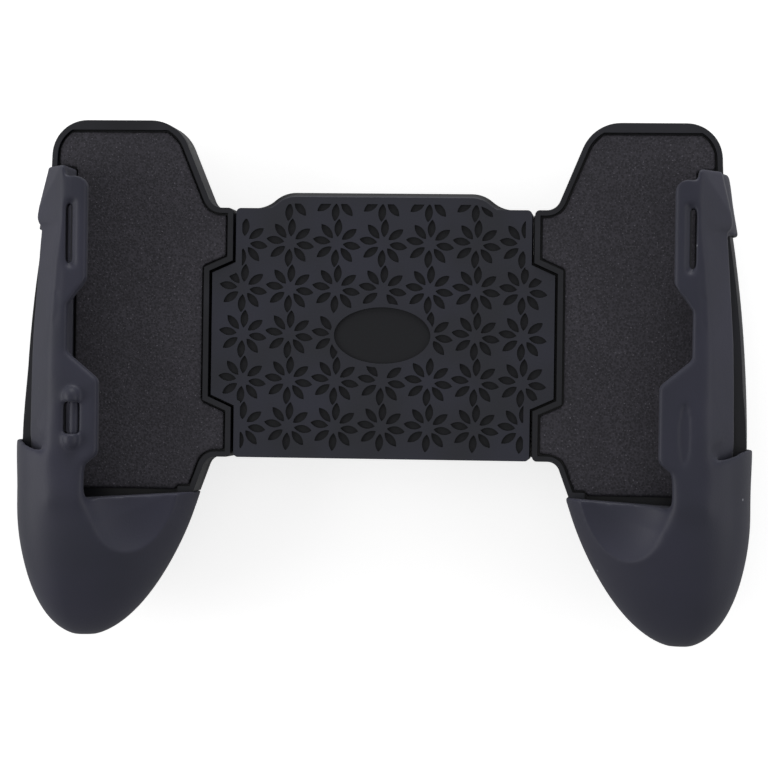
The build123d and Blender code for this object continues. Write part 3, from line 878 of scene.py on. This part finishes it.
    def lug(self, start: float, way: float) -> Rings:
        """One raised, rounded lug that holds an end of the clip bar.

        Args:
            start: where its flat end lies along Y.
            way: the direction along Y to its rounded end.

        Returns:
            Its outlines from the flat end to the tip.
        """
        straight = self.lug_length - self.lug_radius
        stations = [(0.0, 1.0), (straight, 1.0)]
        stations += [(straight + self.lug_radius * math.sin(a), math.cos(a))
                     for a in (math.pi / 2 * i / self.lug_steps for i in range(1, self.lug_steps))]
        turns = [2 * math.pi * i / self.lug_sides for i in range(self.lug_sides)]
        return [self.across(start + way * along, tuple(
            (self.lug_x + self.lug_radius * share * math.cos(turn),
             self.lug_z + self.lug_radius * share * math.sin(turn)) for turn in turns
        )) for along, share in stations]

    def remeshed(self, node: str, name: str, voxel: float, bars: list[Rings]) -> Piece:
        """A soft copy of a CAD node with an even mesh.

        Args:
            node: the CAD node to follow.
            name: the new piece's name.
            voxel: the mesh's step in millimetres.
            bars: closed solids to grow together with it.

        Returns:
            The new piece, which stands for the node.
        """
        mesh = welded_copy(self.frame["nodes"][node])
        for rings in bars:
            add_bar(mesh, rings)
        piece = as_object(name, mesh)
        remesh = piece.modifiers.new("even mesh", "REMESH")
        remesh.mode = "VOXEL"
        remesh.voxel_size = voxel * MM
        remesh.use_smooth_shade = True
        apply_all(piece)
        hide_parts(node)
        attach(piece, self.side.body)
        return piece

    def planed(self, piece: Piece) -> None:
        """Moves what stands beyond the upper lip's slanting end back onto its plane."""
        normal_x, normal_y = self.plane_normal
        for vert in piece.data.vertices:
            out, along, height = self.measured(vert.co)
            x, y = out - self.plane_point[0], along - self.plane_point[1]
            depth = x * normal_x + y * normal_y
            near = math.hypot(x, y) < self.plane_reach and height > self.lip_under_z - self.plane_sink
            if depth < 0 and near:
                vert.co.x -= self.side.sign * depth * normal_x * MM
                vert.co.y -= depth * normal_y * MM

    def rounded_corner(self, piece: Piece) -> None:
        """Rounds the upper lip's inner top corner."""
        x0, y0 = self.lip_corner
        radius = self.lip_top_y - y0
        for vert in piece.data.vertices:
            x, y, z = self.measured(vert.co)
            if z < self.band_z + self.cap_foot or x > self.cap_inner_x or y < y0:
                continue
            if x > x0:
                vert.co.y = min(y, self.lip_top_y) * MM
                continue
            share = radius / max(math.hypot(x - x0, y - y0), radius)
            vert.co.x = self.side.sign * (x0 + (x - x0) * share) * MM
            vert.co.y = (y0 + (y - y0) * share) * MM

    def dished(self, piece: Piece) -> None:
        """Presses the thumb scoop into both faces of the skin."""
        # All normals are read before the first move, as each move makes Blender work them out again.
        grows = [0.0 if vert.normal.z > 0 else self.dish_wall for vert in piece.data.vertices]
        for vert, grow in zip(piece.data.vertices, grows):
            *place, height = self.measured(vert.co)
            far = sum(((here - middle) / (half + grow)) ** 2
                      for here, middle, half in zip(place, self.dish_middle, self.dish_half))
            if far < 1 and height > self.band_z:
                floor = self.dish_middle[2] - (self.dish_half[2] + grow) * math.sqrt(1 - far)
                vert.co.z = min(vert.co.z, floor * MM)

    def eased(self, piece: Piece, easing: Easing) -> None:
        """Smooths the sleeve round a line, most at the line and less towards its reach.

        Args:
            piece: the sleeve.
            easing: the line and how it acts.
        """
        group = piece.vertex_groups.new(name="eased")
        first = self.point(*easing.first)
        line = self.point(*easing.last) - first
        for vert in piece.data.vertices:
            away = vert.co - first
            share = min(max(away.dot(line) / line.length_squared, 0.0), 1.0)
            gap = (away - line * share).length / (easing.reach * MM)
            if gap < 1:
                group.add([vert.index], (1 - gap * gap) ** 2, "REPLACE")
        smoothed(piece, easing.rounds, group.name)
        piece.vertex_groups.clear()

    def pad(self) -> None:
        """The foam pad in its bed."""
        name = self.side.node("phone_pad")
        piece = self.remeshed(self.side.node("foam_pad"), name, self.foam_voxel, [])
        smoothed(piece, self.foam_smoothing)
        paint_object(piece, FOAM)
        LOG.info("pad %s with %d faces", piece.name, len(piece.data.polygons))


@dataclass
class Carriage:
    """The sliding part of one side: the forked plate and its two extension springs."""

    frame: Frame
    side: Side
    wire: float = 0.7
    turns: int = 30
    turn_points: int = 16
    wire_sides: int = 3

    def build(self) -> None:
        """Dresses the plate and winds the springs."""
        dress(self.frame["nodes"][self.side.node("slide_plate")], ACETAL)
        for name in ("spring_upper", "spring_lower"):
            self.spring(name)

    def spring(self, name: str) -> None:
        """Winds one spring with a ring at each end.

        Args:
            name: the spring's node name without its side.
        """
        node = self.side.node(name)
        low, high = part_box(node)
        middle = (low + high) / 2
        radius = (high.y - low.y) / 2 - self.wire / 2 * MM
        near, far = (high.x, low.x) if self.side is Side.LEFT else (low.x, high.x)
        way = self.side.sign
        first = near + way * 2 * radius
        last = far - way * 2 * radius
        near_ring = Vector((first - way * radius, middle.y, middle.z))
        far_ring = Vector((last + way * radius, middle.y, middle.z))
        points = self.loop(near_ring, radius, way, 1)
        count = self.turns * self.turn_points
        for i in range(count + 1):
            share = i / count
            angle = 2 * math.pi * self.turns * share
            y, z = middle.y + radius * math.sin(angle), middle.z + radius * math.cos(angle)
            points.append(Vector((first + (last - first) * share, y, z)))
        points += self.loop(far_ring, radius, -way, 2)[::-1]
        piece = self.tube(self.side.node(name + "_coil"), points)
        paint_object(piece, WIRE)
        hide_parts(node)
        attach(piece, "centre")
        piece.parent = None
        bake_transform(piece)
        LOG.info("spring %s with %d turns", piece.name, self.turns)

    def loop(self, middle: Vector, radius: float, step: float, across: int) -> list[Vector]:
        """The points of an end ring.

        Args:
            middle: the ring's centre.
            radius: its radius in metres.
            step: the direction along X from the ring to the coil.
            across: the other axis that the ring lies along, 1 for Y or 2 for Z.

        Returns:
            The points, ending where the ring meets the coil.
        """
        points = []
        for i in range(self.turn_points + 1):
            angle = 2 * math.pi * (1 - i / self.turn_points)
            offset = Vector((step * radius * math.cos(angle), 0, 0))
            offset[across] = radius * math.sin(angle)
            points.append(middle + offset)
        return points

    def tube(self, name: str, points: list[Vector]) -> Piece:
        """Draws a wire along points as a mesh."""
        curve = bpy.data.curves.new(name, "CURVE")
        curve.dimensions = "3D"
        curve.bevel_depth = self.wire / 2 * MM
        curve.bevel_resolution = self.wire_sides
        curve.use_fill_caps = True
        line = curve.splines.new("POLY")
        line.points.add(len(points) - 1)
        for target, point in zip(line.points, points):
            target.co = (*point, 1.0)
        source = add_object(name + "_line", curve)
        mesh = final_mesh(source)
        bpy.data.objects.remove(source)
        for face in mesh.polygons:
            face.use_smooth = True
        return add_object(name, mesh)


@dataclass
class Screw:
    """A pan-head self-tapping screw with a cross recess, which stands on its head in a mesh.

    The shares are parts of the head's radius or height, or of the radius beside them.
    """

    mesh: WorkMesh
    low: Vector
    high: Vector
    shank: float
    around: int = 32
    head_height: float = 1.4
    dome_steps: int = 5
    dome_share: float = 0.45
    crown_share: float = 0.72
    recess_reach_share: float = 0.62
    recess_width_share: float = 0.22
    recess_depth_share: float = 0.75
    recess_rim_share: float = 0.9
    recess_floor_share: float = 0.7
    smallest_sine: float = 0.01
    thread_pitch: float = 0.7
    thread_depth: float = 0.2
    tip_share: float = 0.6

    def build(self) -> None:
        """Adds the head and the threaded shank to the mesh."""
        head = (self.high.x - self.low.x) / 2
        thick = self.head_height * MM
        dome = thick * self.dome_share
        circles = [(head, thick), (head, dome)]
        for i in range(1, self.dome_steps):
            angle = math.pi / 2 * i / self.dome_steps
            share = self.crown_share + (1 - self.crown_share) * math.cos(angle)
            circles.append((head * share, dome * (1 - math.sin(angle))))
        rows = [self.circle(radius, z) for radius, z in circles]
        for first, second in zip(rows, rows[1:]):
            bridge(self.mesh, second, first, smooth=True)
        self.recess(rows[-1], circles[-1][0], head)
        length = self.high.z - self.low.z
        pitch = self.thread_pitch * MM
        shank = [rows[0], self.circle(self.shank, thick)]
        z = thick
        while z + pitch < length:
            shank.append(self.circle(self.shank - self.thread_depth * MM, z + pitch / 2))
            shank.append(self.circle(self.shank, z + pitch))
            z += pitch
        shank.append(self.circle(self.shank * self.tip_share, length))
        for first, second in zip(shank, shank[1:]):
            bridge(self.mesh, first, second, smooth=True)
        self.mesh.faces.new(shank[-1])

    def ring(self, radii: list[float], z: float) -> list[Any]:
        """Adds points round the screw's axis.

        Args:
            radii: each point's distance from the axis.
            z: their height above the foot.

        Returns:
            The new points in order.
        """
        foot = Vector(((self.low.x + self.high.x) / 2, (self.low.y + self.high.y) / 2, self.low.z))
        turns = [2 * math.pi * i / self.around for i in range(self.around)]
        return [self.mesh.verts.new(foot + Vector((radius * math.cos(turn), radius * math.sin(turn), z)))
                for radius, turn in zip(radii, turns)]

    def circle(self, radius: float, z: float) -> list[Any]:
        """Adds a circle of points round the screw's axis."""
        return self.ring([radius] * self.around, z)

    def recess(self, rim: list[Any], rim_radius: float, head: float) -> None:
        """Closes the head with a flat face that has a cross-shaped recess.

        Args:
            rim: the circle that bounds the flat face.
            rim_radius: its radius.
            head: the head's radius.
        """
        radii = []
        for i in range(self.around):
            # The turn is the angle from the nearest arm of the cross.
            turn = (2 * math.pi * i / self.around + math.pi / 4) % (math.pi / 2) - math.pi / 4
            end = head * self.recess_reach_share / math.cos(turn)
            side = head * self.recess_width_share / max(abs(math.sin(turn)), self.smallest_sine)
            radii.append(min(end, side, rim_radius * self.recess_rim_share))
        mouth = self.ring(radii, 0.0)
        depth = self.head_height * MM * self.recess_depth_share
        floor = self.ring([radius * self.recess_floor_share for radius in radii], depth)
        bridge(self.mesh, mouth, rim, smooth=True)
        bridge(self.mesh, floor, mouth)
        self.mesh.faces.new(floor[::-1])


@dataclass
class Fasteners:
    """All the screws, one for each solid of a screw node."""

    frame: Frame
    tip_gap: float = 0.01

    def build(self) -> None:
        """Makes the screws of all screw nodes."""
        self.screws("centre_screws", "centre")
        for side in Side:
            self.screws(side.node("slide_screws"), side.body)
            self.screws(side.node("shell_screws"), side.body)

    def screws(self, node: str, body: str) -> None:
        """Makes all the screws of one node as one piece.

        Args:
            node: the screw node.
            body: the body that it rides on.
        """
        mesh = bmesh.new()
        solids = self.solids(node)
        shank = solids[0][2]
        for low, high, _ in solids:
            Screw(mesh, low, high, shank).build()
        piece = as_object(node + "_cross_head", mesh)
        paint_object(piece, ZINC)
        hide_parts(node)
        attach(piece, body)
        LOG.info("screws %s", piece.name)

    def solids(self, node: str) -> list[tuple[Vector, Vector, float]]:
        """Measures each separate solid in a screw node.

        Args:
            node: the screw node.

        Returns:
            Each screw's lowest and highest corner, and the radius of its far end in metres.
        """
        mesh = welded_copy(self.frame["nodes"][node])
        mesh.verts.ensure_lookup_table()
        left = set(mesh.verts)
        solids = []
        while left:
            stack = [min(left, key=lambda vert: vert.index)]
            group = set(stack)
            while stack:
                for edge in stack.pop().link_edges:
                    fresh = [vert for vert in edge.verts if vert not in group]
                    group.update(fresh)
                    stack += fresh
            left -= group
            low, high = (Vector([pick(vert.co[axis] for vert in group) for axis in range(3)])
                         for pick in (min, max))
            middle = (low + high) / 2
            tip = [vert.co - middle for vert in group if high.z - vert.co.z < self.tip_gap * MM]
            solids.append((low, high, max(math.hypot(away.x, away.y) for away in tip)))
        mesh.free()
        return solids


@dataclass(frozen=True)
class Lamp:
    """A square soft lamp: its place and side in millimetres, and its power in watts."""

    name: str
    place: Place
    size: float
    power: float


@dataclass
class Studio:
    """A pale floor, soft lamps and the camera at the photograph's viewing angle."""

    target: Place = (0.2, -0.5, 16.0)
    yaw: float = 5.0
    roll: float = 0.77
    distance: float = 600.0
    view_width: float = 161.3
    sensor_width: float = 36.0
    floor_size: float = 3000.0
    floor_colour: str = "#c8c8c8"
    floor_glow: float = 0.72
    world_colour: str = "#ffffff"
    world_light: float = 0.36
    lamps: tuple[Lamp, ...] = (
        Lamp("key", (-820.0, -60.0, 360.0), 600.0, 3.7),
        Lamp("fill", (820.0, -120.0, 360.0), 560.0, 1.9),
        Lamp("top", (40.0, 860.0, 250.0), 560.0, 5.6),
    )

    def build(self) -> None:
        """Makes the floor, the light and the camera."""
        self.floor()
        self.world()
        for lamp in self.lamps:
            self.hang(lamp)
        self.camera()
        bpy.context.scene.view_settings.view_transform = "Standard"

    def floor(self) -> None:
        """A white floor that keeps the object's shadow."""
        half = self.floor_size / 2 * MM
        mesh = bpy.data.meshes.new("floor")
        corners = [(-half, -half, 0), (half, -half, 0), (half, half, 0), (-half, half, 0)]
        mesh.from_pydata(corners, [], [(0, 1, 2, 3)])
        floor = add_object("floor", mesh)
        material = bpy.data.materials.new("white paper")
        tree = cleared(material)
        paper = add_node(tree, "BsdfDiffuse", {"Color": linear(self.floor_colour)})
        rays = add_node(tree, "LightPath", {})
        shares = {0: rays.outputs["Is Camera Ray"], 1: self.floor_glow}
        glow = add_node(tree, "Math", shares, operation="MULTIPLY")
        light = add_node(tree, "Emission", {"Strength": glow.outputs["Value"]})
        both = add_node(tree, "AddShader", {0: paper.outputs["BSDF"], 1: light.outputs["Emission"]})
        add_node(tree, "OutputMaterial", {"Surface": both.outputs["Shader"]})
        mesh.materials.append(material)

    def world(self) -> None:
        """Even light from all around, seen as white by the camera."""
        world = bpy.data.worlds.new("studio")
        bpy.context.scene.world = world
        tree = cleared(world)
        rays = add_node(tree, "LightPath", {})
        levels = {"Value": rays.outputs["Is Camera Ray"], "To Min": self.world_light, "To Max": 1.0}
        strength = add_node(tree, "MapRange", levels).outputs["Result"]
        background = add_node(
            tree, "Background", {"Color": linear(self.world_colour), "Strength": strength}
        )
        add_node(tree, "OutputWorld", {"Surface": background.outputs["Background"]})

    def hang(self, lamp: Lamp) -> None:
        """Hangs a lamp so that it looks at the grip.

        Args:
            lamp: the lamp.
        """
        data = bpy.data.lights.new(lamp.name, "AREA")
        data.shape = "SQUARE"
        data.size = lamp.size * MM
        data.energy = lamp.power
        spot = Vector(lamp.place) * MM
        aim = Vector(self.target) * MM - spot
        turn = aim.to_track_quat("-Z", "Y").to_matrix().to_4x4()
        add_object(lamp.name, data).matrix_world = Matrix.Translation(spot) @ turn

    def camera(self) -> None:
        """The camera over the front face, a little to the right."""
        data = bpy.data.cameras.new("camera")
        data.sensor_width = self.sensor_width
        data.lens = data.sensor_width * self.distance / self.view_width
        camera = add_object("camera", data)
        yaw = Matrix.Rotation(math.radians(self.yaw), 4, "Y")
        turn = yaw @ Matrix.Rotation(math.radians(self.roll), 4, "Z")
        away = turn @ Vector((0, 0, self.distance * MM))
        camera.matrix_world = Matrix.Translation(Vector(self.target) * MM + away) @ turn
        bpy.context.scene.camera = camera


def main() -> None:
    """Builds the grip's pieces around the frame, then the studio."""
    logging.basicConfig(level=logging.INFO, format="%(name)s: %(message)s")
    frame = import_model()
    CentreHousing(frame).build()
    for side in Side:
        Handle(frame, side).build()
        Carriage(frame, side).build()
    Fasteners(frame).build()
    Studio().build()


if __name__ == "__main__":
    main()
